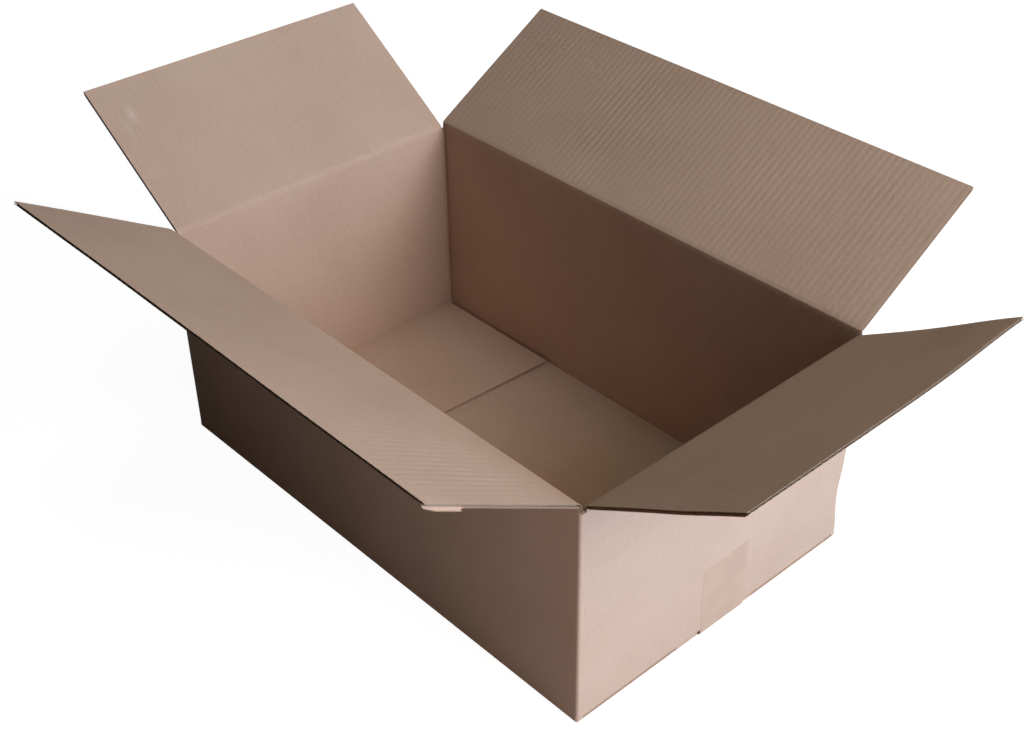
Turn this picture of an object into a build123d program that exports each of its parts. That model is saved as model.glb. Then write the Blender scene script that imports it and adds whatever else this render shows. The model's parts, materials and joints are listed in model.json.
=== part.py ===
from build123d import *
import os
from math import atan2, cos, floor, radians, sin, tan

# An open corrugated carton with four top flaps and a taped bottom.
# The origin is on the floor under the middle of the box. X runs along the long sides, Y across, Z up.
# Lengths are in millimetres and angles in degrees.

# Carton, over the outside of the board
box_length = 490.0
box_width = 300.0
box_height = 204.0  # from the floor to the score of the long flaps
board_thickness = 3.0
corner_radius = 2.5  # outside of the four upright folds

# Top and bottom flaps
flap_meeting_gap = 5.6  # between the free edges of two closed long flaps
long_flap_setback = 1.5  # from an upright edge of the box to the side of a long flap
short_flap_setback = 6.0  # the same for a short flap, on whose side the corner slots are cut
slot_past_score = 4.0  # how far a corner slot is cut past the score of a short flap
layer_gap = 0.3  # between boards that lie on each other

# Scored crease of a top flap
pivot_depth = 0.6  # from the outside face to the line that the board turns about
crease_taper = 3.4  # length over which the board is crushed, on each side of the line
crease_gap = 0.25  # from that line to the crushed board on each side of it
crease_reach = 7.0  # from that line to where the flutes open

# How far each top flap stands above level
rest_angles = {"front": 30.5, "back": 31.0, "right": 29.8, "left": 34.2}

# Corrugated section
liner_thickness = 0.4
medium_thickness = 0.35
flute_pitch = 6.5
crown_half_width = 0.65  # of the flat top of a wave
bottom_flute_depth = 15.0  # of the open flutes in the free edge of a short bottom flap

# Glued joint that closes the blank into a sleeve
glue_tab_width = 35.0
glue_tab_thickness = 2.4
glue_tab_taper = 12.0

# Torn corner of the front flap
peel_length = 34.0
peel_width = 4.0
peel_drop = 3.0
peel_slant = 3.5  # by which the torn end runs off square

# Closing tape
tape_width = 50.0
tape_thickness = 0.1
tape_offset = 7.0  # from the middle of the bottom seam, along Y
tape_rise = 67.0  # from the floor to its ends on the short walls

# Levels and lengths that follow from the sizes above
fold_radius = board_thickness  # outside of the bottom folds
long_bottom_level = tape_thickness
short_bottom_level = long_bottom_level + board_thickness + layer_gap
long_pivot_level = box_height
short_pivot_level = long_pivot_level - board_thickness - layer_gap
slot_bottom_level = short_bottom_level + slot_past_score
slot_top_level = short_pivot_level - slot_past_score
long_flap_width = box_length - 2 * long_flap_setback
short_flap_width = box_width - 2 * short_flap_setback
long_flap_length = (box_width - flap_meeting_gap) / 2 - pivot_depth
short_flap_length = long_flap_length + long_pivot_level - short_pivot_level
bottom_flap_length = (box_width - flap_meeting_gap) / 2


def crease_strip(width, reach):
    """Board beside a score: a wedge that grows from the turning line to the full thickness.

    The turning line is the X axis, the board runs along +Y, and its inside face looks to +Z.
    """
    inner = board_thickness - pivot_depth
    tip = crease_gap / crease_taper
    outline = Polyline(
        (crease_gap, -pivot_depth * tip),
        (crease_gap, inner * tip),
        (crease_taper, inner),
        (reach, inner),
        (reach, -pivot_depth),
        (crease_taper, -pivot_depth),
        close=True,
    )
    profile = Plane.YZ * make_face(outline)
    return Pos(-width / 2, 0, 0) * extrude(profile, width, dir=(1, 0, 0))


def flute_gap(centre, upright):
    """One hollow between the wavy medium and a liner, as a closed outline across the flutes."""
    outer_face = -pivot_depth
    low = outer_face + liner_thickness
    high = outer_face + board_thickness - liner_thickness
    rise = high - low - medium_thickness
    slope = atan2(rise, flute_pitch / 2 - 2 * crown_half_width)
    foot_half_width = flute_pitch / 2 - crown_half_width - medium_thickness * tan(slope / 2)
    if upright:
        base, top = low, low + rise
    else:
        base, top = high, high - rise
    return Wire.make_polygon(
        [
            (centre - foot_half_width, base),
            (centre + foot_half_width, base),
            (centre + crown_half_width, top),
            (centre - crown_half_width, top),
        ]
    )


def fluted_panel(width, start, length):
    """Corrugated board from start to length along +Y, open at its free edge."""
    outline = Wire.make_polygon(
        [
            (-width / 2, -pivot_depth),
            (width / 2, -pivot_depth),
            (width / 2, board_thickness - pivot_depth),
            (-width / 2, board_thickness - pivot_depth),
        ]
    )
    count = floor(width / flute_pitch) - 1
    first = -count * flute_pitch / 2
    gaps = []
    for index in range(count + 1):
        gaps.append(flute_gap(first + index * flute_pitch, True))
        if index < count:
            gaps.append(flute_gap(first + (index + 0.5) * flute_pitch, False))
    free_edge = Plane(origin=(0, length, 0), x_dir=(1, 0, 0), z_dir=(0, -1, 0))
    section = free_edge * Face(outline, gaps)
    return extrude(section, length - start, dir=(0, -1, 0))


def top_flap(width, length):
    """A flap of corrugated board with its crushed root at the score."""
    return crease_strip(width, crease_reach) + fluted_panel(width, crease_reach, length)


def peeled_corner(flap, width, length):
    """Tear the outside liner of a flap at one outer corner, so that a strip of it hangs down."""
    edge = -width / 2
    root = edge + peel_width
    under = -pivot_depth
    bared = Pos(edge + peel_width / 2, length - peel_length / 2, under) * Box(
        peel_width, peel_length, 2 * liner_thickness
    )
    strip_face = Polyline(
        (root - liner_thickness, under + liner_thickness),
        (root + liner_thickness, under + liner_thickness),
        (root + liner_thickness, under),
        (edge + liner_thickness, under - peel_drop),
        (edge, under - peel_drop),
        close=True,
    )
    free_edge = Plane(origin=(0, length, 0), x_dir=(1, 0, 0), z_dir=(0, -1, 0))
    strip = extrude(free_edge * make_face(strip_face), peel_length, dir=(0, -1, 0))
    torn_end = Polyline(
        (edge - liner_thickness, length - peel_length - liner_thickness),
        (root + liner_thickness, length - peel_length - liner_thickness),
        (edge - liner_thickness, length - peel_length + peel_slant),
        close=True,
    )
    waste = Pos(0, 0, under - peel_drop - liner_thickness) * extrude(
        make_face(torn_end), peel_drop + liner_thickness, dir=(0, 0, 1)
    )
    return flap - bared + (strip - waste)


def crease_plane(outward, level, half_span, angle):
    """Frame at a score, with +Y along the board when that stands at an angle above level."""
    along = outward * cos(radians(angle)) + Vector(0, 0, sin(radians(angle)))
    inside = Vector(0, 0, cos(radians(angle))) - outward * sin(radians(angle))
    pivot = outward * (half_span - pivot_depth) + Vector(0, 0, level)
    return Plane(origin=pivot, x_dir=along.cross(inside), z_dir=inside)


def wall_lip(outward, level, half_span, width):
    """Top of a wall under its flap, from the bottom of the corner slots to the score."""
    pivot = outward * (half_span - pivot_depth) + Vector(0, 0, level)
    down = Plane(origin=pivot, x_dir=Vector(0, 0, 1).cross(outward), z_dir=-outward)
    return down.location * crease_strip(width, level - slot_top_level)


def bottom_flap(outward, level, half_span, width, reach):
    """Foot of a wall and its bottom flap as far as a reach in from the wall, in one rounded bend."""
    angle_section = Polygon(
        (0, level),
        (-reach, level),
        (-reach, level + board_thickness),
        (-board_thickness, level + board_thickness),
        (-board_thickness, slot_bottom_level),
        (0, slot_bottom_level),
        align=None,
    )
    outer_corner = angle_section.vertices().sort_by_distance((0, level, 0))[0]
    rounded = fillet(outer_corner, fold_radius)
    across = outward.cross(Vector(0, 0, 1))
    wall_foot = Plane(origin=outward * half_span - across * (width / 2), x_dir=outward, z_dir=across)
    return extrude(wall_foot * rounded, width, dir=across)


def fluted_end(outward, level, half_span, width, start):
    """Rest of a bottom flap from start to its free edge, where the flutes are open."""
    upward = Vector(0, 0, 1)
    board = Plane(
        origin=outward * half_span + upward * (level + pivot_depth),
        x_dir=upward.cross(outward),
        z_dir=upward,
    )
    return board.location * fluted_panel(width, start, bottom_flap_length)


def wall_sleeve():
    """The four walls between the corner slots, with their upright folds."""
    outside = RectangleRounded(box_length, box_width, corner_radius)
    inside = Rectangle(box_length - 2 * board_thickness, box_width - 2 * board_thickness)
    height = slot_top_level - slot_bottom_level
    return Pos(0, 0, slot_bottom_level) * extrude(outside - inside, height)


def glue_tab():
    """Tab of the right wall, folded round the upright edge and glued inside the front wall."""
    fold = box_length / 2 - board_thickness
    free = fold - glue_tab_width
    low = slot_bottom_level
    high = slot_top_level
    outline = Polyline(
        (fold, low),
        (fold, high),
        (free, high - glue_tab_taper),
        (free, low + glue_tab_taper),
        close=True,
    )
    front_inside = Plane(
        origin=(0, board_thickness - box_width / 2, 0), x_dir=(1, 0, 0), z_dir=(0, -1, 0)
    )
    return extrude(front_inside * make_face(outline), glue_tab_thickness, dir=(0, 1, 0))


def carton_body():
    """The folded blank without its top flaps."""
    body = wall_sleeve() + glue_tab()
    for outward in (front, back):
        span = box_width / 2
        body += wall_lip(outward, long_pivot_level, span, long_flap_width)
        body += bottom_flap(outward, long_bottom_level, span, long_flap_width, bottom_flap_length)
    open_from = bottom_flap_length - bottom_flute_depth
    for outward in (right, left):
        span = box_length / 2
        body += wall_lip(outward, short_pivot_level, span, short_flap_width)
        body += bottom_flap(outward, short_bottom_level, span, short_flap_width, open_from)
        body += fluted_end(outward, short_bottom_level, span, short_flap_width, open_from)
    return body


def closure_tape():
    """Tape along the bottom seam and up both short walls."""
    bend = long_flap_setback
    wrap = Pos(0, tape_rise / 2) * Rectangle(box_length + 2 * tape_thickness, tape_rise)
    wrap = fillet(wrap.vertices().group_by(Axis.Y)[0], bend + tape_thickness)
    held = Pos(0, tape_rise / 2 + tape_thickness) * Rectangle(box_length, tape_rise)
    held = fillet(held.vertices().group_by(Axis.Y)[0], bend)
    upright = Plane(
        origin=(0, tape_offset + tape_width / 2, 0), x_dir=(1, 0, 0), z_dir=(0, -1, 0)
    )
    return extrude(upright * (wrap - held), tape_width, dir=(0, -1, 0))


# Directions that the four sides face
front = Vector(0, -1, 0)
back = Vector(0, 1, 0)
right = Vector(1, 0, 0)
left = Vector(-1, 0, 0)

long_flap = top_flap(long_flap_width, long_flap_length)
short_flap = top_flap(short_flap_width, short_flap_length)
torn_flap = peeled_corner(long_flap, long_flap_width, long_flap_length)

parts = {
    "carton_body": carton_body(),
    "closure_tape": closure_tape(),
    "top_flap_front": crease_plane(
        front, long_pivot_level, box_width / 2, rest_angles["front"]
    ).location * torn_flap,
    "top_flap_back": crease_plane(
        back, long_pivot_level, box_width / 2, rest_angles["back"]
    ).location * long_flap,
    "top_flap_right": crease_plane(
        right, short_pivot_level, box_length / 2, rest_angles["right"]
    ).location * short_flap,
    "top_flap_left": crease_plane(
        left, short_pivot_level, box_length / 2, rest_angles["left"]
    ).location * short_flap,
}

os.makedirs("parts", exist_ok=True)
for name, shape in parts.items():
    export_step(shape, f"parts/{name}.step")
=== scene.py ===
import json
import logging
import math
from collections.abc import Iterable
from dataclasses import dataclass, field
from enum import Enum

import bpy
import numpy as np
from mathutils import Matrix, Vector

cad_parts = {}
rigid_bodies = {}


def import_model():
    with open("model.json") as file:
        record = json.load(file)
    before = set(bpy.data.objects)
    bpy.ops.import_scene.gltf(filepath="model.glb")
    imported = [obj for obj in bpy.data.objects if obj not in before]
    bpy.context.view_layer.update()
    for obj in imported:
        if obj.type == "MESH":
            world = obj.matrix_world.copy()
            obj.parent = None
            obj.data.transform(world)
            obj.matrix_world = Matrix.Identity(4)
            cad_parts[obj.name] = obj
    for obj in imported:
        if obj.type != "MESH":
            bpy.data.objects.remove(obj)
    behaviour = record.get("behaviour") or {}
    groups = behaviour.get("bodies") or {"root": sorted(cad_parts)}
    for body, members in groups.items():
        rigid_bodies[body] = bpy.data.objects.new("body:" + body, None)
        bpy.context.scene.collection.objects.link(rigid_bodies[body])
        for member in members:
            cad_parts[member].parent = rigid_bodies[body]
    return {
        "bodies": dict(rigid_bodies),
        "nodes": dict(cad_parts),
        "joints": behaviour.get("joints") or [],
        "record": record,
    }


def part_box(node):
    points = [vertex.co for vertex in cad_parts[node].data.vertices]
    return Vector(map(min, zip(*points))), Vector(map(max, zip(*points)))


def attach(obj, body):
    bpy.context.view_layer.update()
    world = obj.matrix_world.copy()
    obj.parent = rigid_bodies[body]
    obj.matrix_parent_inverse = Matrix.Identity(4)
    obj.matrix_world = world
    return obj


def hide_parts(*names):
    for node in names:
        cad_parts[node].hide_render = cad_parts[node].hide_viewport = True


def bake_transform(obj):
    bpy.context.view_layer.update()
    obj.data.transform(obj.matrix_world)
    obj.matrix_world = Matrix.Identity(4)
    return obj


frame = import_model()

# Shapes are worked out in millimetres and go into the meshes in metres.
MM = 0.001
UP = np.array([0.0, 0.0, 1.0])
BODY = "carton"
Colour = tuple[float, float, float]
log = logging.getLogger("carton")


class Side(Enum):
    """The four sides of the box, each with the direction that it faces."""

    FRONT = ("front", (0, -1, 0))
    BACK = ("back", (0, 1, 0))
    RIGHT = ("right", (1, 0, 0))
    LEFT = ("left", (-1, 0, 0))

    @property
    def title(self) -> str:
        """The plain word for the side."""
        return self.value[0]

    @property
    def outward(self) -> np.ndarray:
        """Unit vector that points away from the box."""
        return np.array(self.value[1], float)

    @property
    def is_long(self) -> bool:
        """Whether this is one of the two long sides."""
        return self in (Side.FRONT, Side.BACK)


class Turn(Enum):
    """Which end of a wall a flap is folded from."""

    TOP = 1
    BOTTOM = -1


@dataclass(frozen=True)
class Board:
    """Single-wall corrugated board, in millimetres."""

    thickness: float = 3.0
    liner: float = 0.4
    medium: float = 0.3
    pitch: float = 6.5
    steps: int = 6  # columns of points to one flute in a wall or the liner of a top flap
    floor_steps: int = 4  # the same in the liner of a bottom flap
    wave_steps: int = 8  # the same in the wavy medium

    @property
    def wave(self) -> float:
        """Height of the medium's middle line from the lowest to the highest point."""
        return self.thickness - 2 * self.liner - self.medium


@dataclass(frozen=True)
class Carton:
    """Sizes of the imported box, read from the frame, in millimetres and degrees."""

    length: float
    width: float
    pivot_depth: float
    long_level: float
    short_level: float
    long_flap_width: float
    short_flap_width: float
    flap_reach: float
    rest: dict[Side, float]
    corner_radius: float = 2.5  # outside of the upright folds
    slot_past_score: float = 2.4  # from the level of a short flap to the end of the corner slots
    layer_gap: float = 0.3  # between boards that lie on each other

    @classmethod
    def from_frame(cls, packed: dict) -> "Carton":
        """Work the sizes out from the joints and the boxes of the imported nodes.


        Returns:
            The sizes.
        """
        joints = {j["name"]: j for j in packed["record"]["behaviour"]["joints"]}
        rows = {side: joints[f"{side.title}_flap_fold"] for side in Side}
        low, high = (np.array(corner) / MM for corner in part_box("carton_body"))
        front = np.array(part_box("top_flap_front")) / MM
        right = np.array(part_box("top_flap_right")) / MM
        # A flap's joint stops where the flap lies level over the box.
        rest = {side: 180.0 - rows[side]["range_deg"][1] for side in Side}
        pivot_y = -rows[Side.FRONT]["pos_m"][1] / MM
        long_level = rows[Side.FRONT]["pos_m"][2] / MM
        leaning = math.radians(rest[Side.BACK])
        back_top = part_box("top_flap_back")[1][2] / MM
        depth = high[1] - pivot_y
        inside = (Board().thickness - depth) * math.cos(leaning)
        return cls(
            length=high[0] - low[0],
            width=high[1] - low[1],
            pivot_depth=depth,
            long_level=long_level,
            short_level=rows[Side.RIGHT]["pos_m"][2] / MM,
            long_flap_width=front[1][0] - front[0][0],
            short_flap_width=right[1][1] - right[0][1],
            flap_reach=(back_top - long_level - inside) / math.sin(leaning),
            rest=rest,
        )

    def half_span(self, side: Side) -> float:
        """Distance from the middle of the box to the outside of a wall."""
        return (self.width if side.is_long else self.length) / 2

    def level(self, side: Side) -> float:
        """Height of the line that a side's top flap turns about."""
        return self.long_level if side.is_long else self.short_level

    def flap_width(self, side: Side) -> float:
        """Width of a side's flaps along their score."""
        return self.long_flap_width if side.is_long else self.short_flap_width

    def flap_length(self, side: Side) -> float:
        """Length of a side's top flap from its turning line to its free edge."""
        return self.flap_reach + self.long_level - self.level(side)

    @property
    def slot_top(self) -> float:
        """Height of the bottom of the upper corner slots."""
        return self.short_level - self.slot_past_score

    def bottom_level(self, side: Side) -> float:
        """Height of the underside of a side's bottom flap."""
        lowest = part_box("carton_body")[0][2] / MM
        return lowest if side.is_long else lowest + Board().thickness + self.layer_gap

    @property
    def slot_bottom(self) -> float:
        """Height of the top of the lower corner slots."""
        return self.bottom_level(Side.RIGHT) + self.slot_past_score


def smooth_step(value: np.ndarray) -> np.ndarray:
    """Ramp from 0 to 1 with level ends: three times the square less twice the cube.

    Args:
        value: position along the ramp, clipped to the stretch from 0 to 1.

    Returns:
        The height of the ramp.
    """
    t = np.clip(value, 0, 1)
    return t * t * (3 - 2 * t)


def bell(value: np.ndarray) -> np.ndarray:
    """Bell curve of height 1 that falls to 1/e at a distance of 1."""
    return np.exp(-np.square(value))


def drift(
    u: np.ndarray, s: np.ndarray, span: float, seed: int, terms: int = 5, spread: float = 0.3
) -> np.ndarray:
    """Slow random rise and fall over a sheet, roughly from -1 to 1.

    It is a sum of plane sine waves with seeded directions, lengths and phases. Wave k is about one k-th
    as long and exactly one k-th as high as the first.

    Args:
        u, s: flat coordinates on the sheet.
        span: length of the longest wave.
        seed: start of the random draws.
        terms: how many waves are added.
        spread: share by which a wave's length may differ from its part of the span.

    Returns:
        The height at each point.
    """
    draw = np.random.default_rng(seed)
    total = np.zeros(np.broadcast(u, s).shape)
    weight = 0.0
    for order in range(1, terms + 1):
        heading, phase = draw.uniform(0, 2 * np.pi, 2)
        wave = span / order * draw.uniform(1 - spread, 1 + spread)
        total += np.sin(2 * np.pi * (u * np.cos(heading) + s * np.sin(heading)) / wave + phase) / order
        weight += 1 / order
    return total / weight


@dataclass
class Skin:
    """A closed surface of four-sided faces, before or after it is bent into place."""

    points: np.ndarray
    quads: np.ndarray
    cut: np.ndarray  # whether a face lies on a cut edge of the board
    flat: np.ndarray  # place of each point on the flat sheet
    wear: np.ndarray  # from 0 to 1 at each point

    @staticmethod
    def joined(skins: list["Skin"]) -> "Skin":
        """Put several skins into one, with each one's faces counted on from the last.

        Args:
            skins: the skins, in the order that they are put in.

        Returns:
            One skin that holds them all.
        """
        starts = np.cumsum([0] + [len(k.points) for k in skins[:-1]])
        return Skin(
            points=np.concatenate([k.points for k in skins]),
            quads=np.concatenate([k.quads + a for k, a in zip(skins, starts)]),
            cut=np.concatenate([k.cut for k in skins]),
            flat=np.concatenate([k.flat for k in skins]),
            wear=np.concatenate([k.wear for k in skins]),
        )


def slab(u: np.ndarray, s: np.ndarray, low: np.ndarray, high: np.ndarray, wear: np.ndarray) -> Skin:
    """Closed sheet over a grid: one face at height low, one at height high, and the rim between.

    Args:
        u, s: grids of flat coordinates, as (columns, rows).
        low, high: heights of the two faces on that grid.
        wear: how worn the sheet is on that grid.

    Returns:
        A skin whose points are (u, s, height).
    """
    columns, rows = u.shape
    index = np.arange(columns * rows).reshape(columns, rows)
    under = columns * rows
    top = np.stack([index[:-1, :-1], index[1:, :-1], index[1:, 1:], index[:-1, 1:]], -1).reshape(-1, 4)
    edge = np.concatenate([index[:-1, 0], index[-1, :-1], index[:0:-1, -1], index[0, :0:-1]])
    ahead = np.roll(edge, -1)
    rim = np.stack([edge + under, ahead + under, ahead, edge], -1)
    quads = np.concatenate([top, top[:, ::-1] + under, rim])
    cut = np.zeros(len(quads), bool)
    cut[2 * len(top):] = True
    grid = np.stack([u, s], -1).reshape(-1, 2)
    points = np.concatenate([np.column_stack([grid, h.reshape(-1)]) for h in (high, low)])
    return Skin(points, quads, cut, np.tile(grid, (2, 1)), np.tile(wear.reshape(-1), 2))


def make_piece(
    name: str, skin: Skin, faces: bpy.types.Material, cuts: bpy.types.Material
) -> bpy.types.Object:
    """Put a skin into a mesh object at the origin, in metres, with hard edges round its cut faces.

    Args:
        name: name of the piece.
        skin: its points and faces, in millimetres.
        faces: finish of the broad faces.
        cuts: finish of the cut edges.

    Returns:
        The object, linked to the scene.
    """
    mesh = bpy.data.meshes.new(name)
    count = len(skin.quads)
    mesh.vertices.add(len(skin.points))
    mesh.vertices.foreach_set("co", (skin.points * MM).astype(np.float32).ravel())
    mesh.loops.add(count * 4)
    mesh.loops.foreach_set("vertex_index", skin.quads.astype(np.int32).ravel())
    mesh.polygons.add(count)
    mesh.polygons.foreach_set("loop_start", np.arange(count, dtype=np.int32) * 4)
    mesh.polygons.foreach_set("material_index", skin.cut.astype(np.int32))
    mesh.polygons.foreach_set("use_smooth", ~skin.cut)
    mesh.update(calc_edges=True)
    round_edge = np.empty(count * 4, np.int32)
    mesh.loops.foreach_get("edge_index", round_edge)
    sharp = np.zeros(len(mesh.edges), bool)
    sharp[round_edge[np.repeat(skin.cut, 4)]] = True
    mesh.attributes.new("sharp_edge", "BOOLEAN", "EDGE").data.foreach_set("value", sharp)
    layer = mesh.uv_layers.new(name="sheet")
    layer.data.foreach_set("uv", (skin.flat[skin.quads.ravel()] * MM).astype(np.float32).ravel())
    mesh.attributes.new("wear", "FLOAT", "POINT").data.foreach_set("value", skin.wear.astype(np.float32))
    mesh.materials.append(faces)
    mesh.materials.append(cuts)
    piece = bpy.data.objects.new(name, mesh)
    bpy.context.scene.collection.objects.link(piece)
    return piece


@dataclass(frozen=True)
class Fold:
    """A straight fold that carries a sheet from a wall into a flap.

    A sheet point (u, s, n) lies u along the fold, s past it and n towards the inside from the turning line.
    The sheet turns about that line over a short stretch, in proportion to a smooth ramp.
    """

    pivot: np.ndarray
    outward: np.ndarray
    turn: Turn
    angle: float  # in degrees, from the wall to the flap
    half_bend: float = 0.5  # length of the bend on each side of the line

    @property
    def ahead(self) -> np.ndarray:
        """Direction in which the wall runs towards the fold."""
        return UP * self.turn.value

    @property
    def across(self) -> np.ndarray:
        """Direction of u, so that u, s and n make a right-handed set."""
        return np.cross(self.ahead, -self.outward)

    def place(self, sheet: np.ndarray) -> np.ndarray:
        """Bend sheet points into place: turn each by its share of the angle about the line.

        Args:
            sheet: points as (u, s, n).

        Returns:
            The same points in the row frame, in millimetres.
        """
        u, s, n = sheet.T
        share = smooth_step((s + self.half_bend) / (2 * self.half_bend))
        phi = np.radians(self.angle) * share
        run = s * smooth_step(np.abs(s) / (2 * self.half_bend))
        side = self.outward * self.turn.value
        along = np.cos(phi)[:, None] * self.ahead + np.sin(phi)[:, None] * side
        inside = -np.cos(phi)[:, None] * self.outward + np.sin(phi)[:, None] * UP
        return self.pivot + u[:, None] * self.across + run[:, None] * along + n[:, None] * inside

    def blend_points(self, reach: float) -> tuple[Vector, Vector]:
        """Two points, one each side of the line, between which the sheet passes from wall to flap.

        Args:
            reach: distance of each point from the line, along the middle way between wall and flap.

        Returns:
            The point on the wall's side and the one on the flap's side, in metres.
        """
        phi = np.radians(self.angle)
        along = np.cos(phi) * self.ahead + np.sin(phi) * self.outward * self.turn.value
        middle = self.ahead + along
        middle /= np.linalg.norm(middle)
        start, end = (self.pivot + middle * step for step in (-reach, reach))
        return Vector(start * MM), Vector(end * MM)


@dataclass(frozen=True)
class Crease:
    """The crushed strip beside a score, in millimetres."""

    inner_half_width: float = 3.0
    outer_half_width: float = 3.4
    inner_left: float = 2.05  # from the turning line to the inside face at the score
    outer_left: float = 0.15
    rows: int = 21

    def inner_dip(self, s: np.ndarray) -> np.ndarray:
        """How far the inside face is pressed in: 1 at the score, down to 0 by a smooth ramp."""
        return 1 - smooth_step(np.abs(s) / self.inner_half_width)

    def outer_dip(self, s: np.ndarray) -> np.ndarray:
        """How far the outside face is pressed in: 1 at the score, down to 0 by a smooth ramp."""
        return 1 - smooth_step(np.abs(s) / self.outer_half_width)


@dataclass(frozen=True)
class Noise:
    """How fine a noise is, how many finer octaves it has and how strong those are."""

    scale: float
    detail: float
    roughness: float


@dataclass(frozen=True)
class KraftLiner:
    """Unprinted brown liner: soft blotches, a fine grain, fibres along the flutes and paler scuffs."""

    name: str = "kraft_liner"
    light: Colour = (0.575, 0.42, 0.33)
    dark: Colour = (0.493, 0.347, 0.265)
    worn: Colour = (0.68, 0.58, 0.49)
    roughness: float = 0.88
    specular: float = 0.25
    blotch: Noise = Noise(9, 4, 0.6)
    grain: Noise = Noise(420, 6, 0.7)
    fibre: Noise = Noise(1, 3, 0.6)
    fibre_scale: tuple[float, float, float] = (700, 45, 1)  # across the flutes, along them and through
    colour_shares: tuple[float, float, float] = (0.42, 0.44, 0.14)  # of blotches, grain and fibres
    height_shares: tuple[float, float] = (0.75, 0.25)  # of the grain and the fibres
    ramp: tuple[float, float] = (0.36, 0.64)  # where the pattern is all dark and all light
    bump_strength: float = 0.5
    bump_height: float = 0.0005  # in metres

    def material(self) -> bpy.types.Material:
        """Build the node material.

        Returns:
            The material.
        """
        made, tree, shader = new_finish(self.name, self.roughness, self.specular)
        place = tree.nodes.new("ShaderNodeTexCoord")
        flat = tree.nodes.new("ShaderNodeUVMap")
        flat.uv_map = "sheet"
        stretch = tree.nodes.new("ShaderNodeMapping")
        stretch.inputs["Scale"].default_value = self.fibre_scale
        tree.links.new(flat.outputs["UV"], stretch.inputs["Vector"])
        blotch = add_noise(tree, place.outputs["Object"], self.blotch)
        grain = add_noise(tree, place.outputs["Object"], self.grain)
        fibre = add_noise(tree, stretch.outputs["Vector"], self.fibre)
        mixed = combine(tree, zip((blotch, grain, fibre), self.colour_shares))
        colour = two_tone(tree, mixed, self.dark, self.light, self.ramp)
        wear = tree.nodes.new("ShaderNodeAttribute")
        wear.attribute_name = "wear"
        paler = tree.nodes.new("ShaderNodeMix")
        paler.data_type = "RGBA"
        tree.links.new(wear.outputs["Fac"], paler.inputs["Factor"])
        tree.links.new(colour, paler.inputs["A"])
        paler.inputs["B"].default_value = (*self.worn, 1)
        tree.links.new(paler.outputs["Result"], shader.inputs["Base Color"])
        height = combine(tree, zip((grain, fibre), self.height_shares))
        emboss(tree, shader, height, self.bump_strength, self.bump_height)
        return made


@dataclass(frozen=True)
class CutEdge:
    """Raw edge of the board, rougher than the liner and painted darker with the shade of the open flutes
    between the liners.
    """

    name: str = "cut_edge_flute_shade"
    # Both colours are darker than the liner's to paint the shade inside the open flutes.
    light: Colour = (0.33, 0.25, 0.185)
    dark: Colour = (0.20, 0.15, 0.11)
    roughness: float = 0.95
    specular: float = 0.15
    fuzz: Noise = Noise(900, 4, 0.7)
    ramp: tuple[float, float] = (0.3, 0.7)  # where the fuzz is all dark and all light

    def material(self) -> bpy.types.Material:
        """Build the node material.

        Returns:
            The material.
        """
        made, tree, shader = new_finish(self.name, self.roughness, self.specular)
        place = tree.nodes.new("ShaderNodeTexCoord")
        fuzz = add_noise(tree, place.outputs["Object"], self.fuzz)
        colour = two_tone(tree, fuzz, self.dark, self.light, self.ramp)
        tree.links.new(colour, shader.inputs["Base Color"])
        return made


@dataclass(frozen=True)
class TanTape:
    """Thin tan packing tape, a little browner than the board, with a low sheen."""

    name: str = "tan_tape"
    light: Colour = (0.545, 0.39, 0.29)
    dark: Colour = (0.51, 0.36, 0.27)
    roughness: float = 0.5
    specular: float = 0.5
    cloud: Noise = Noise(40, 3, 0.5)
    ramp: tuple[float, float] = (0.4, 0.6)  # where the clouds are all dark and all light
    bump_strength: float = 0.2
    bump_height: float = 0.0002  # in metres

    def material(self) -> bpy.types.Material:
        """Build the node material.

        Returns:
            The material.
        """
        made, tree, shader = new_finish(self.name, self.roughness, self.specular)
        place = tree.nodes.new("ShaderNodeTexCoord")
        cloud = add_noise(tree, place.outputs["Object"], self.cloud)
        colour = two_tone(tree, cloud, self.dark, self.light, self.ramp)
        tree.links.new(colour, shader.inputs["Base Color"])
        emboss(tree, shader, cloud, self.bump_strength, self.bump_height)
        return made


def new_finish(
    name: str, roughness: float, specular: float
) -> tuple[bpy.types.Material, bpy.types.NodeTree, bpy.types.Node]:
    """Start a node material.

    Args:
        name: name of the material.
        roughness: how matt it is, from 0 to 1.
        specular: how much it mirrors, 0.5 for plain plastic.

    Returns:
        The material, its node tree and its surface shader.
    """
    made = bpy.data.materials.new(name)
    made.use_nodes = True
    shader = made.node_tree.nodes["Principled BSDF"]
    shader.inputs["Roughness"].default_value = roughness
    shader.inputs["Specular IOR Level"].default_value = specular
    return made, made.node_tree, shader


def add_noise(
    tree: bpy.types.NodeTree, vector: bpy.types.NodeSocket, pattern: Noise
) -> bpy.types.NodeSocket:
    """Add a noise texture.

    Args:
        tree: node tree of the material.
        vector: where the noise is read.
        pattern: how fine and how rough it is.

    Returns:
        The noise value.
    """
    node = tree.nodes.new("ShaderNodeTexNoise")
    node.inputs["Scale"].default_value = pattern.scale
    node.inputs["Detail"].default_value = pattern.detail
    node.inputs["Roughness"].default_value = pattern.roughness
    tree.links.new(vector, node.inputs["Vector"])
    return node.outputs["Fac"]


def two_tone(
    tree: bpy.types.NodeTree,
    value: bpy.types.NodeSocket,
    dark: Colour,
    light: Colour,
    ramp: tuple[float, float],
) -> bpy.types.NodeSocket:
    """Colour a pattern from dark to light.

    Args:
        tree: node tree of the material.
        value: the pattern.
        dark, light: the two colours.
        ramp: values of the pattern at which it is all dark and all light.

    Returns:
        The colour.
    """
    node = tree.nodes.new("ShaderNodeValToRGB")
    for stop, position, colour in zip(node.color_ramp.elements, ramp, (dark, light)):
        stop.position = position
        stop.color = (*colour, 1)
    tree.links.new(value, node.inputs["Fac"])
    return node.outputs["Color"]


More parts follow.
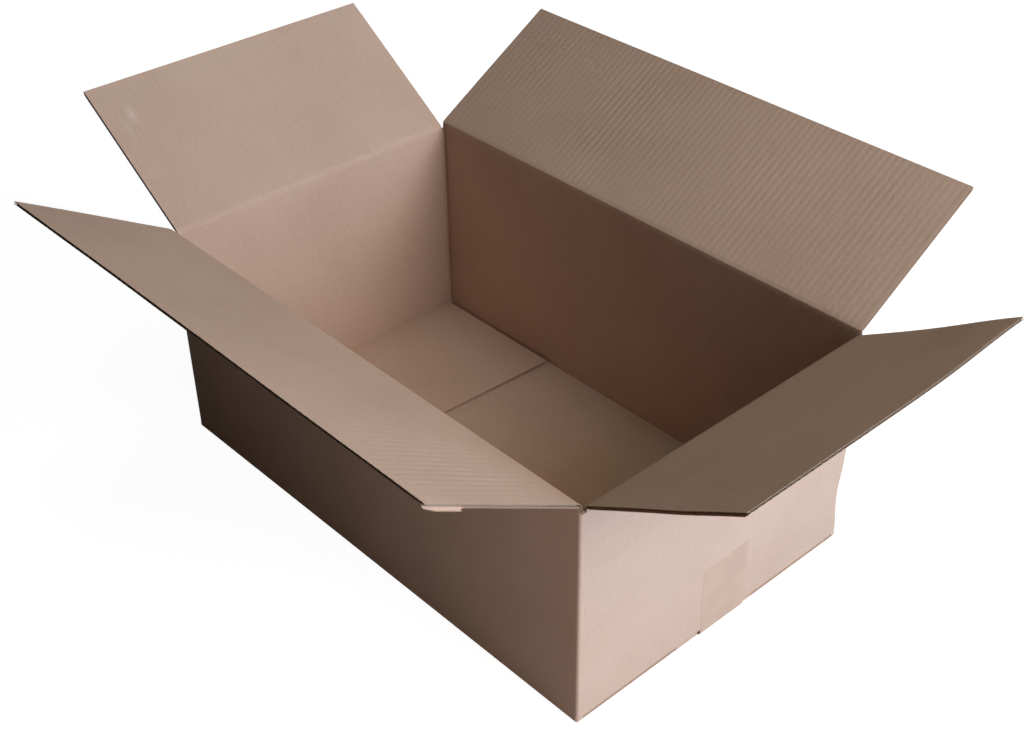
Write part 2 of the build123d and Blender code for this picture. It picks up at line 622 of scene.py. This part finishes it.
def emboss(
    tree: bpy.types.NodeTree,
    shader: bpy.types.Node,
    height: bpy.types.NodeSocket,
    strength: float,
    distance: float,
) -> None:
    """Give a finish the fine relief of a pattern.

    Args:
        tree: node tree of the material.
        shader: its surface shader.
        height: the pattern.
        strength: share of the relief that shows.
        distance: how high the relief is, in metres.
    """
    bump = tree.nodes.new("ShaderNodeBump")
    bump.inputs["Strength"].default_value = strength
    bump.inputs["Distance"].default_value = distance
    tree.links.new(height, bump.inputs["Height"])
    tree.links.new(bump.outputs["Normal"], shader.inputs["Normal"])


def combine(
    tree: bpy.types.NodeTree, parts: Iterable[tuple[bpy.types.NodeSocket, float]]
) -> bpy.types.NodeSocket:
    """Add several values, each times its own share.

    Args:
        tree: node tree of the material.
        parts: the values and their shares.

    Returns:
        The sum.
    """
    total = None
    for socket, share in parts:
        scaled = tree.nodes.new("ShaderNodeMath")
        scaled.operation = "MULTIPLY_ADD"
        scaled.inputs[1].default_value = share
        scaled.inputs[2].default_value = 0
        tree.links.new(socket, scaled.inputs[0])
        if total is not None:
            tree.links.new(total, scaled.inputs[2])
        total = scaled.outputs["Value"]
    return total


@dataclass(frozen=True)
class Finishes:
    """The materials that the pieces share."""

    liner: bpy.types.Material
    # Raw edges, coloured darker with painted shade of the open flutes.
    edge: bpy.types.Material
    tape: bpy.types.Material

    @classmethod
    def build(cls) -> "Finishes":
        """Make each material once."""
        return cls(KraftLiner().material(), CutEdge().material(), TanTape().material())


@dataclass(frozen=True)
class Patch:
    """A place on a flap where something shows more than elsewhere, in millimetres of its sheet."""

    u: float
    s: float
    wide: float
    tall: float
    strength: float

    def share(self, u: np.ndarray, s: np.ndarray) -> np.ndarray:
        """Strength times a bell curve of the distance from the middle, longer one way than the other."""
        return self.strength * bell(np.hypot((u - self.u) / self.wide, (s - self.s) / self.tall))


@dataclass
class FoldedPanel:
    """Corrugated board that is folded from a wall into a flap, as two liners with a wavy medium between."""

    carton: Carton
    side: Side
    finishes: Finishes
    board: Board = field(default_factory=Board)
    crease: Crease = field(default_factory=Crease)
    flat_rows: int = 16
    row_spread: float = 1.3  # power by which those rows lie further apart away from the crease
    medium_back: float = 0.3  # of the wavy paper from the free edge
    seed: int = 1
    rib_depth: float = 0.05  # of the hollows in a liner between the flutes
    least_rib_depth: float = 0.01
    rib_change: float = 0.04  # by which that depth changes slowly over the flap
    rib_span: float = 150.0  # length of that change across the flutes, half of what it is along them
    rib_break: float = 0.7  # share by which the hollows come and go
    rib_break_span: float = 35.0
    rib_seed: int = 7  # added to the flap's own seed, as is the next
    rib_break_seed: int = 3
    bow: float = 0.8  # of the whole flap at its free edge
    bow_span: float = 700.0
    ribs: tuple[Patch, ...] = ()
    scuffs: tuple[Patch, ...] = ()
    bends: tuple[Patch, ...] = ()

    def columns(self, width: float, steps: int) -> np.ndarray:
        """Evenly spaced places across the flutes, about as many to each flute as the steps say."""
        count = round(width / self.board.pitch * steps)
        return np.linspace(-width / 2, width / 2, count + 1)

    def rows(self, start: float, length: float) -> np.ndarray:
        """Places along the flutes: even over the crease, then further and further apart.

        Past the crease the distance grows as a power of the row's number.

        Args:
            start: where the sheet starts, on the wall's side of the score.
            length: where it ends, at the free edge.

        Returns:
            The places, in order.
        """
        half = self.crease.inner_half_width
        over = np.linspace(-half, half, self.crease.rows)
        share = np.linspace(0, 1, self.flat_rows + 1)[1:] ** self.row_spread
        return np.concatenate([[start], over, half + (length - half) * share])

    def washboard(self, u: np.ndarray, s: np.ndarray) -> np.ndarray:
        """How far a flap's liner sinks between the flutes.

        It is a cosine across the flutes. Its depth is a slow drift and the rib patches, times a quicker
        drift that breaks the hollows up.

        Args:
            u, s: flat coordinates on the sheet.

        Returns:
            The depth at each point, nothing on the wall's side of the score.
        """
        slow = drift(u, s / 2, self.rib_span, self.seed + self.rib_seed)
        quick = drift(u, s, self.rib_break_span, self.seed + self.rib_break_seed)
        depth = self.rib_depth + self.rib_change * slow
        depth = depth + sum(patch.share(u, s) for patch in self.ribs)
        broken = 1 + self.rib_break * quick
        depth = np.clip(depth * broken, self.least_rib_depth, None)
        return (s > 0) * depth * (1 - np.cos(2 * np.pi * u / self.board.pitch)) / 2

    def wavy(self, u: np.ndarray, height: float | np.ndarray) -> np.ndarray:
        """Middle line of the wavy paper about the middle of the board: a cosine across the flutes."""
        return height / 2 * np.cos(2 * np.pi * u / self.board.pitch)

    def wear(self, u: np.ndarray, s: np.ndarray) -> np.ndarray:
        """How rubbed the liner is, from 0 to 1: the sum of the scuffs."""
        return np.clip(np.zeros_like(u) + sum(patch.share(u, s) for patch in self.scuffs), 0, 1)

    def warp(self, u: np.ndarray, s: np.ndarray) -> np.ndarray:
        """How far the flap is bowed towards the inside: a slow drift and the bends.

        Both grow by a smooth ramp from nothing at the crease to all at the free edge.

        Args:
            u, s: flat coordinates on the sheet.

        Returns:
            The rise at each point.
        """
        bent = sum(patch.share(u, s) for patch in self.bends)
        return smooth_step(s / self.length) * (self.bow * drift(u, s, self.bow_span, self.seed) + bent)


@dataclass(frozen=True)
class Peel:
    """A strip of the outside liner torn loose along the side of a flap near its free corner."""

    length: float = 34.0
    width: float = 4.0
    drop: float = 2.2
    slant: float = 3.5  # by which the torn end runs off square
    rag: float = 0.8  # of the waves in the torn end
    rag_turn: float = 2.1  # radians of those waves to a millimetre
    start: float = 10.0  # length over which the strip comes away from the corner
    start_share: float = 0.3  # of the drop, at the corner
    end_rows: tuple[float, ...] = (-1, 0, 1, 2, 3, 4)  # rows of points about the torn end
    side_columns: tuple[float, ...] = (0.4, 0.8, 1.6, 2.6, 3.6)  # and columns beside the flap's side

    def loose(self, across: np.ndarray, back: np.ndarray) -> np.ndarray:
        """How far the strip hangs: most along the side, nothing at its root or past the torn end.

        It is one smooth ramp across the strip times another along it, cut off at a slanting wavy end.

        Args:
            across: distance from the side of the flap.
            back: distance from the free edge.

        Returns:
            The drop at each point, in millimetres.
        """
        side = smooth_step(1 - across / self.width)
        away = self.start_share + (1 - self.start_share) * smooth_step(back / self.start)
        square = self.length - self.slant * across / self.width
        return self.drop * side * away * (back < square + self.rag * np.sin(across * self.rag_turn))


@dataclass
class TopFlap(FoldedPanel):
    """A top flap with the top of its wall, bent at the score."""

    peel: Peel | None = None
    medium_setback: float = 1.2  # of the wavy paper from the sides of the flap
    medium_start: float = 1.0  # of the wavy paper past the crushed strip
    medium_rows: int = 7
    pinch_depth: float = 1.0  # by which the knife pressed the outside face in at the free edge
    pinch_reach: float = 3.0
    pinch_rows: tuple[float, ...] = (1.0, 0.67, 0.33)  # shares of that reach where a liner has rows
    pinch_middle: float = 1.5  # distance of a row of the wavy paper from the free edge
    blend_reach: float = 1.2

    @property
    def length(self) -> float:
        """From the turning line to the free edge."""
        return self.carton.flap_length(self.side)

    def fold(self) -> Fold:
        """The crease between the wall and the flap."""
        reach = self.carton.half_span(self.side) - self.carton.pivot_depth
        pivot = self.side.outward * reach + UP * self.carton.level(self.side)
        return Fold(pivot, self.side.outward, Turn.TOP, 90 - self.carton.rest[self.side])

    def pinch(self, s: np.ndarray) -> np.ndarray:
        """How far the outside face is pressed in at the free edge: a smooth ramp over the last stretch."""
        return self.pinch_depth * smooth_step(1 - (self.length - s) / self.pinch_reach)

    def liner(self, inside: bool) -> Skin:
        """One liner from the slot level over the crease to the free edge.

        Its face lies at the board's surface, pressed in beside the score, bowed by the warp and sunk a
        little between the flutes. The outside one is pressed in at the free edge too.

        Args:
            inside: whether this is the liner on the inside of the box.

        Returns:
            The sheet as (u, s, n).
        """
        board, depth = self.board, self.carton.pivot_depth
        start = self.carton.slot_top - self.carton.level(self.side)
        width = self.carton.flap_width(self.side)
        pinched = self.length - self.pinch_reach * np.array(self.pinch_rows)
        rows = np.sort(np.concatenate([self.rows(start, self.length), pinched]))
        columns = self.columns(width, board.steps)
        torn = self.peel if not inside else None
        if torn:
            rows = np.sort(np.concatenate([rows, self.length - torn.length + np.array(torn.end_rows)]))
            columns = np.sort(np.concatenate([columns, -width / 2 + np.array(torn.side_columns)]))
        u, s = np.meshgrid(columns, rows, indexing="ij")
        dip = self.crease.inner_dip(s) if inside else self.crease.outer_dip(s)
        bow = self.warp(u, s)
        hollow = self.washboard(u, s) * (1 - dip)
        if inside:
            surface = board.thickness - depth
            high = surface * (1 - dip) + self.crease.inner_left * dip + bow - hollow
            low = high - board.liner
        else:
            low = -depth * (1 - dip) - self.crease.outer_left * dip + bow + hollow
            pressed = self.pinch(s)
            if torn:
                pressed = pressed * smooth_step((u + width / 2) / torn.width)
                low = low - torn.loose(u + width / 2, self.length - s)
            low = low + pressed
            high = low + board.liner
        return slab(u, s, low, high, self.wear(u, s))

    def medium(self) -> Skin:
        """The wavy paper between the liners, from past the crease almost to the free edge.

        It is a cosine across the flutes, flatter where the outside face is pressed in.

        Returns:
            The sheet as (u, s, n).
        """
        board = self.board
        start = self.crease.inner_half_width + self.medium_start
        open_rows = np.linspace(start, self.length - self.pinch_reach, self.medium_rows)
        u, s = np.meshgrid(
            self.columns(self.carton.flap_width(self.side) - 2 * self.medium_setback, board.wave_steps),
            np.concatenate([open_rows, self.length - np.array([self.pinch_middle, self.medium_back])]),
            indexing="ij",
        )
        middle = (board.thickness + self.pinch(s)) / 2 - self.carton.pivot_depth + self.warp(u, s)
        middle = middle + self.wavy(u, board.wave - self.pinch(s))
        return slab(u, s, middle - board.medium / 2, middle + board.medium / 2, np.zeros_like(u))

    def build(self) -> bpy.types.Object:
        """Make the flap, bent at the score, in place of the imported one.

        Returns:
            The piece.
        """
        skin = Skin.joined([self.liner(True), self.liner(False), self.medium()])
        fold = self.fold()
        skin.points = fold.place(skin.points)
        piece = make_piece(f"flap_{self.side.title}", skin, self.finishes.liner, self.finishes.edge)
        start, end = fold.blend_points(self.blend_reach)
        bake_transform(piece)
        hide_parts(f"top_flap_{self.side.title}")
        return piece


@dataclass
class BottomFlap(FoldedPanel):
    """A bottom flap with the foot of its wall, folded in and held by the tape."""

    slant: float = 0.0  # by which one end of the free edge is cut shorter than the other
    bend_rows: int = 9
    rest_rows: int = 12  # from the end of the bend to the free edge
    medium_reach: float = 40.0  # from the free edge

    @property
    def length(self) -> float:
        """From the inside of the fold to the free edge."""
        return self.carton.flap_reach + self.carton.pivot_depth - self.board.thickness

    def fold(self) -> Fold:
        """The square fold at the foot of the wall, turned about its inside face."""
        reach = self.carton.half_span(self.side) - self.board.thickness
        level = self.carton.bottom_level(self.side) + self.board.thickness
        return Fold(self.side.outward * reach + UP * level, self.side.outward, Turn.BOTTOM, 90)

    def sheet(self, low: float, high: float, hollow: float) -> Skin:
        """One liner, flat between two depths, with the marks of the flutes.

        Args:
            low, high: depths of the two faces from the inside of the board.
            hollow: 1 if the inside face sinks between flutes, -1 if the outside one does.

        Returns:
            The sheet as (u, s, n).
        """
        fold = self.fold()
        start = fold.pivot[2] - self.carton.slot_bottom
        bend = np.linspace(-fold.half_bend, fold.half_bend, self.bend_rows)
        rest = np.linspace(fold.half_bend, self.length, self.rest_rows)[1:]
        u, s = np.meshgrid(
            self.columns(self.carton.flap_width(self.side), self.board.floor_steps),
            np.concatenate([[start], bend, rest]),
            indexing="ij",
        )
        sink = self.washboard(u, s) * hollow
        return slab(u, self.slanted(u, s), low - sink, high - sink, np.zeros_like(u))

    def slanted(self, u: np.ndarray, s: np.ndarray) -> np.ndarray:
        """Draw the flap in towards one end of its free edge, in proportion to the way there."""
        width = self.carton.flap_width(self.side)
        return s - self.slant * (u / width + 0.5) * np.clip(s / self.length, 0, 1)

    def medium(self) -> Skin:
        """The wavy paper between the liners, near the free edge: a cosine across the flutes.

        Returns:
            The sheet as (u, s, n).
        """
        board = self.board
        u, s = np.meshgrid(
            self.columns(self.carton.flap_width(self.side), board.wave_steps),
            self.length - np.array([self.medium_reach, self.medium_back]),
            indexing="ij",
        )
        middle = -board.thickness / 2 + self.wavy(u, board.wave)
        s = self.slanted(u, s)
        return slab(u, s, middle - board.medium / 2, middle + board.medium / 2, np.zeros_like(u))

    def build(self) -> bpy.types.Object:
        """Make the flap, which stays with the box.

        Returns:
            The piece.
        """
        board = self.board
        skin = Skin.joined(
            [
                self.sheet(-board.liner, 0, 1),
                self.sheet(-board.thickness, board.liner - board.thickness, -1),
                self.medium(),
            ]
        )
        skin.points = self.fold().place(skin.points)
        piece = make_piece(
            f"bottom_flap_{self.side.title}", skin, self.finishes.liner, self.finishes.liner
        )
        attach(piece, BODY)
        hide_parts("carton_body")
        return piece


@dataclass
class Sleeve:
    """The four walls between the corner slots, one band of board with four upright folds."""

    carton: Carton
    finishes: Finishes
    board: Board = field(default_factory=Board)
    rows: int = 18
    arc_steps: int = 6
    inner_radius: float = 0.5
    foot_gap: float = 0.1  # between the wall and a long bottom flap beside a short one
    short_side_facing: float = 0.5  # least part along X of an outward direction on a short side
    groove_depth: float = 1.0  # of the score inside each upright fold
    groove_width: float = 3.0  # on each side of the fold
    dent_depth: float = 2.6  # of the knock on the upright edge at the right and the back
    dent_level: float = 44.0  # of the middle of the knock
    dent_tall: float = 26.0
    dent_wide: float = 7.0

    def path(self) -> tuple[np.ndarray, np.ndarray, np.ndarray]:
        """Walk once round the walls: straight stretches joined by quarter arcs.

        Returns:
            The centres, the outward directions and the distance walked, one row for each place. The
            outside lies one corner radius from the centres and the inside one inner radius.
        """
        radius = self.carton.corner_radius
        half = np.array([self.carton.length, self.carton.width]) / 2 - radius
        corners = np.array([[1, -1], [1, 1], [-1, 1], [-1, -1]]) * half
        centres, normals = [], []
        for number, corner in enumerate(corners):
            heading = -np.pi / 2 + number * np.pi / 2
            angles = heading + np.linspace(0, np.pi / 2, self.arc_steps + 1)
            centres.append(np.repeat(corner[None], len(angles), 0))
            normals.append(np.stack([np.cos(angles), np.sin(angles)], -1))
            ahead = corners[(number + 1) % 4]
            span = np.linalg.norm(ahead - corner)
            count = round(span / self.board.pitch * self.board.steps)
            share = np.linspace(0, 1, count + 1)[1:-1, None]
            centres.append(corner + (ahead - corner) * share)
            normals.append(np.repeat(normals[-1][-1:], count - 1, 0))
        centre, normal = np.concatenate(centres), np.concatenate(normals)
        outside = centre + normal * radius
        steps = np.linalg.norm(np.roll(outside, -1, 0) - outside, axis=1)
        return centre, normal, np.concatenate([[0], np.cumsum(steps)[:-1]])

    def build(self) -> bpy.types.Object:
        """Make the band as a closed ring: outside, inside, and the rims at top and bottom.

        Returns:
            The piece.
        """
        centre, normal, walked = self.path()
        radius = self.carton.corner_radius
        foot = self.foot(centre, normal)[:, None]
        levels = foot + (self.carton.slot_top - foot) * np.linspace(0, 1, self.rows)
        count = len(centre)
        outer = centre + normal * radius
        inner = self.inside_line(centre, normal)
        points, flat = [], []
        for line in (outer, inner):
            grid = np.zeros((count, self.rows, 3))
            grid[..., :2] = line[:, None]
            grid[..., 2] = levels
            points.append(self.dented(grid.reshape(-1, 3)))
            around = np.repeat(walked[:, None], self.rows, 1)
            flat.append(np.stack([around, levels], -1).reshape(-1, 2))
        index = np.arange(count * self.rows).reshape(count, self.rows)
        ahead = np.roll(index, -1, 0)
        under = count * self.rows
        face = np.stack([index[:, :-1], ahead[:, :-1], ahead[:, 1:], index[:, 1:]], -1).reshape(-1, 4)
        top = np.stack([index[:, -1], ahead[:, -1], ahead[:, -1] + under, index[:, -1] + under], -1)
        bottom = np.stack([index[:, 0] + under, ahead[:, 0] + under, ahead[:, 0], index[:, 0]], -1)
        quads = np.concatenate([face, face[:, ::-1] + under, top, bottom])
        cut = np.arange(len(quads)) >= 2 * len(face)
        skin = Skin(
            np.concatenate(points), quads, cut, np.concatenate(flat), np.zeros(2 * under)
        )
        piece = make_piece("carton_walls", skin, self.finishes.liner, self.finishes.liner)
        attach(piece, BODY)
        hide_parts("carton_body")
        return piece

    def foot(self, centre: np.ndarray, normal: np.ndarray) -> np.ndarray:
        """Lowest level at each place: the bottom of the slots, or a long flap beside a short one.

        Args:
            centre: places on the walls' path, one corner radius in from the outside.
            normal: outward directions there.

        Returns:
            One level for each place.
        """
        across = np.abs(centre[:, 1] + normal[:, 1] * self.carton.corner_radius)
        on_short_side = np.abs(normal[:, 0]) > self.short_side_facing
        beside = (across > self.carton.short_flap_width / 2) & on_short_side
        on_flap = self.carton.bottom_level(Side.FRONT) + self.board.thickness + self.foot_gap
        return np.where(beside, on_flap, self.carton.slot_bottom)

    def inside_line(self, centre: np.ndarray, normal: np.ndarray) -> np.ndarray:
        """Inside of the walls: the outside moved in by the board, with its own small corner radius.

        The scored groove in each upright fold is a straight-sided notch.

        Args:
            centre: places on the walls' path, one corner radius in from the outside.
            normal: outward directions there.

        Returns:
            The places on the inside.
        """
        half = np.array([self.carton.length, self.carton.width]) / 2 - self.carton.corner_radius
        inner_half = half + self.carton.corner_radius - self.board.thickness - self.inner_radius
        from_fold = np.max(half - np.abs(centre), axis=1)
        groove = self.groove_depth * np.clip(1 - from_fold / self.groove_width, 0, 1)
        return centre * (inner_half / half) + normal * (self.inner_radius + groove)[:, None]

    def dented(self, points: np.ndarray) -> np.ndarray:
        """Press one upright edge in towards the middle: two bell curves, up the edge and away from it.

        Args:
            points: places on the walls.

        Returns:
            The moved places.
        """
        edge = np.array([self.carton.length, self.carton.width]) / 2
        away = np.linalg.norm(points[:, :2] - edge, axis=1)
        depth = bell(away / self.dent_wide) * bell((points[:, 2] - self.dent_level) / self.dent_tall)
        diagonal = np.sqrt(0.5)  # share of a slanting step that lies along each axis
        moved = points.copy()
        moved[:, :2] -= self.dent_depth * depth[:, None] * diagonal
        return moved


@dataclass
class GlueTab:
    """The manufacturer's joint: a tab of the right wall, glued inside the front wall."""

    carton: Carton
    finishes: Finishes
    board: Board = field(default_factory=Board)
    width: float = 35.0
    thickness: float = 2.4
    taper: float = 12.0
    crush: float = 0.05  # of the hollows between the flutes
    columns: int = 33
    rows: int = 17

    def build(self) -> bpy.types.Object:
        """Make the tab as a slab whose top and foot draw in towards its free edge.

        Its inside face sinks between the flutes by a cosine across them.

        Returns:
            The piece.
        """
        fold = self.carton.length / 2 - self.board.thickness
        low, high = self.carton.slot_bottom + self.board.thickness, self.carton.slot_top
        share, level = np.meshgrid(
            np.linspace(0, 1, self.columns), np.linspace(-1, 1, self.rows), indexing="ij"
        )
        half = (high - low) / 2 - self.taper * share
        across = fold - self.width * share
        up = (high + low) / 2 + half * level
        crushed = self.crush * (1 - np.cos(2 * np.pi * across / self.board.pitch)) / 2
        inner = np.full_like(across, self.thickness) - crushed
        skin = slab(-across[::-1], up[::-1], np.zeros_like(across), inner[::-1], np.zeros_like(across))
        u, s, n = skin.points.T
        wall = self.board.thickness - self.carton.width / 2
        skin.points = np.column_stack([-u, wall + n, s])
        piece = make_piece("glue_tab", skin, self.finishes.liner, self.finishes.edge)
        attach(piece, BODY)
        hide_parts("carton_body")
        return piece


@dataclass
class ClosureTape:
    """The tape along the bottom seam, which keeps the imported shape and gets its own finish."""

    finishes: Finishes

    def build(self) -> bpy.types.Object:
        """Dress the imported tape.

        Returns:
            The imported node's object.
        """
        node = frame["nodes"]["closure_tape"]
        for place in node.material_slots:
            place.material = self.finishes.tape
        if not node.material_slots:
            node.data.materials.append(self.finishes.tape)
        return node


@dataclass(frozen=True)
class Lamp:
    """A square soft lamp, in metres and watts."""

    name: str
    place: tuple[float, float, float]
    size: float
    watts: float
    colour: Colour


@dataclass(frozen=True)
class Studio:
    """Camera, lamps and floor, in metres and degrees."""

    eye: tuple[float, float, float] = (0.7829, -0.6889, 0.8527)
    heading: float = 46.44
    tilt: float = 54.52
    roll: float = 0.129
    lens: float = 54.23  # in millimetres, as is the sensor
    sensor: float = 36.0
    nearest: float = 0.01
    shift: tuple[float, float] = (-0.0373, 0.0094)  # the photograph is cropped a little off centre
    lamp_aim: tuple[float, float, float] = (0.0, 0.0, 0.1)
    surround: float = 0.008  # light from every side
    backdrop: float = 1.0  # added where the camera looks past the floor
    floor_half: float = 30.0
    floor_grey: float = 0.28
    floor_glow: float = 0.96  # seen by the camera only
    lamps: tuple[Lamp, ...] = (
        Lamp("low_key", (1.6, 0.47, 0.80), 1.25, 46, (0.53, 0.75, 1.0)),
        Lamp("high_key", (1.45, 0.42, 1.15), 1.25, 17, (1.0, 0.53, 0.1)),
        Lamp("overhead", (-0.1, 0.1, 1.9), 0.8, 4.1, (0.87, 1.0, 0.95)),
        Lamp("fill", (0.5, -0.5, 0.12), 0.25, 0.53, (1.0, 0.80, 0.69)),
    )

    def camera(self) -> None:
        """Set the camera where the photograph was taken from."""
        data = bpy.data.cameras.new("view")
        data.lens = self.lens
        data.sensor_width = self.sensor
        data.sensor_fit = "HORIZONTAL"
        data.shift_x, data.shift_y = self.shift
        data.clip_start = self.nearest
        camera = bpy.data.objects.new("view", data)
        bpy.context.scene.collection.objects.link(camera)
        turned = (
            Matrix.Rotation(math.radians(self.heading), 4, "Z")
            @ Matrix.Rotation(math.radians(self.tilt), 4, "X")
            @ Matrix.Rotation(math.radians(self.roll), 4, "Z")
        )
        camera.matrix_world = Matrix.Translation(Vector(self.eye)) @ turned
        bpy.context.scene.camera = camera

    def hang(self, lamp: Lamp) -> None:
        """Hang a lamp so that it looks at the box.

        Args:
            lamp: the lamp.
        """
        data = bpy.data.lights.new(lamp.name, "AREA")
        data.size = lamp.size
        data.energy = lamp.watts
        data.color = lamp.colour
        hung = bpy.data.objects.new(lamp.name, data)
        bpy.context.scene.collection.objects.link(hung)
        hung.location = lamp.place
        look = Vector(self.lamp_aim) - Vector(lamp.place)
        hung.rotation_euler = look.to_track_quat("-Z", "Y").to_euler()

    def floor(self) -> None:
        """Lay a pale floor that the camera sees as white, apart from the shadow on it."""
        mesh = bpy.data.meshes.new("floor")
        far = self.floor_half
        mesh.from_pydata(
            [(-far, -far, 0), (far, -far, 0), (far, far, 0), (-far, far, 0)], [], [(0, 1, 2, 3)]
        )
        floor = bpy.data.objects.new("floor", mesh)
        bpy.context.scene.collection.objects.link(floor)
        made = bpy.data.materials.new("pale_floor")
        made.use_nodes = True
        tree = made.node_tree
        tree.nodes.clear()
        out = tree.nodes.new("ShaderNodeOutputMaterial")
        matt = tree.nodes.new("ShaderNodeBsdfDiffuse")
        matt.inputs["Color"].default_value = (*[self.floor_grey] * 3, 1)
        glow = tree.nodes.new("ShaderNodeEmission")
        glow.inputs["Color"].default_value = (1, 1, 1, 1)
        path = tree.nodes.new("ShaderNodeLightPath")
        level = tree.nodes.new("ShaderNodeMath")
        level.operation = "MULTIPLY"
        level.inputs[1].default_value = self.floor_glow
        tree.links.new(path.outputs["Is Camera Ray"], level.inputs[0])
        tree.links.new(level.outputs["Value"], glow.inputs["Strength"])
        both = tree.nodes.new("ShaderNodeAddShader")
        tree.links.new(matt.outputs["BSDF"], both.inputs[0])
        tree.links.new(glow.outputs["Emission"], both.inputs[1])
        tree.links.new(both.outputs["Shader"], out.inputs["Surface"])
        mesh.materials.append(made)

    def world(self) -> None:
        """Weak white light from every side, bright only where the camera looks at it."""
        world = bpy.data.worlds.new("studio")
        bpy.context.scene.world = world
        world.use_nodes = True
        tree = world.node_tree
        back = tree.nodes["Background"]
        back.inputs["Color"].default_value = (1, 1, 1, 1)
        path = tree.nodes.new("ShaderNodeLightPath")
        level = tree.nodes.new("ShaderNodeMath")
        level.operation = "MULTIPLY_ADD"
        level.inputs[1].default_value = self.backdrop
        level.inputs[2].default_value = self.surround
        tree.links.new(path.outputs["Is Camera Ray"], level.inputs[0])
        tree.links.new(level.outputs["Value"], back.inputs["Strength"])

    def build(self) -> None:
        """Set up the whole studio."""
        self.camera()
        for lamp in self.lamps:
            self.hang(lamp)
        self.floor()
        self.world()
        bpy.context.scene.view_settings.view_transform = "Standard"


# Places on each top flap's sheet where the flutes show more, the board is bent or the liner is rubbed.
# Across the flutes the sheet of the back flap runs towards +X, of the front flap towards -X, of the right
# flap towards -Y and of the left flap towards +Y.
RIBS: dict[Side, tuple[Patch, ...]] = {
    Side.FRONT: (Patch(-205, 90, 50, 80, 0.08), Patch(60, 110, 60, 50, 0.03)),
    Side.BACK: (
        Patch(-88, 95, 30, 70, 0.04),
        Patch(192, 95, 30, 70, 0.02),
        Patch(0, 90, 300, 90, 0.08),
    ),
    Side.RIGHT: (Patch(0, 90, 90, 60, 0.03),),
    Side.LEFT: (Patch(20, 90, 60, 60, 0.02),),
}
BENDS: dict[Side, tuple[Patch, ...]] = {
    Side.RIGHT: (Patch(-144, 150, 70, 80, 4.0), Patch(144, 90, 30, 25, -0.7)),
}
SCUFFS: dict[Side, tuple[Patch, ...]] = {
    Side.LEFT: (Patch(-118, 118, 3, 5, 0.8), Patch(-128, 100, 2, 4, 0.7)),
}

# How far the free edge of a bottom flap is cut off square, in millimetres.
SLANTS: dict[Side, float] = {Side.LEFT: 11.0}

# Random draws start at these numbers and count on round the sides.
TOP_SEED = 10
BOTTOM_SEED = 20


def main() -> None:
    """Build the studio and the box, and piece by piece."""
    logging.basicConfig(level=logging.INFO, format="%(name)s: %(message)s")
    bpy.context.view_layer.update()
    carton = Carton.from_frame(frame)
    log.info("sizes %s", carton)
    Studio().build()
    finishes = Finishes.build()
    makers = [Sleeve(carton, finishes), GlueTab(carton, finishes), ClosureTape(finishes)]
    for number, side in enumerate(Side):
        makers.append(
            TopFlap(
                carton,
                side,
                finishes,
                seed=TOP_SEED + number,
                ribs=RIBS[side],
                scuffs=SCUFFS.get(side, ()),
                bends=BENDS.get(side, ()),
                peel=Peel() if side is Side.FRONT else None,
            )
        )
        slant = SLANTS.get(side, 0.0)
        makers.append(BottomFlap(carton, side, finishes, seed=BOTTOM_SEED + number, slant=slant))
    for maker in makers:
        piece = maker.build()
        log.info("%s has %d faces", piece.name, len(piece.data.polygons))


if __name__ == "__main__":
    main()
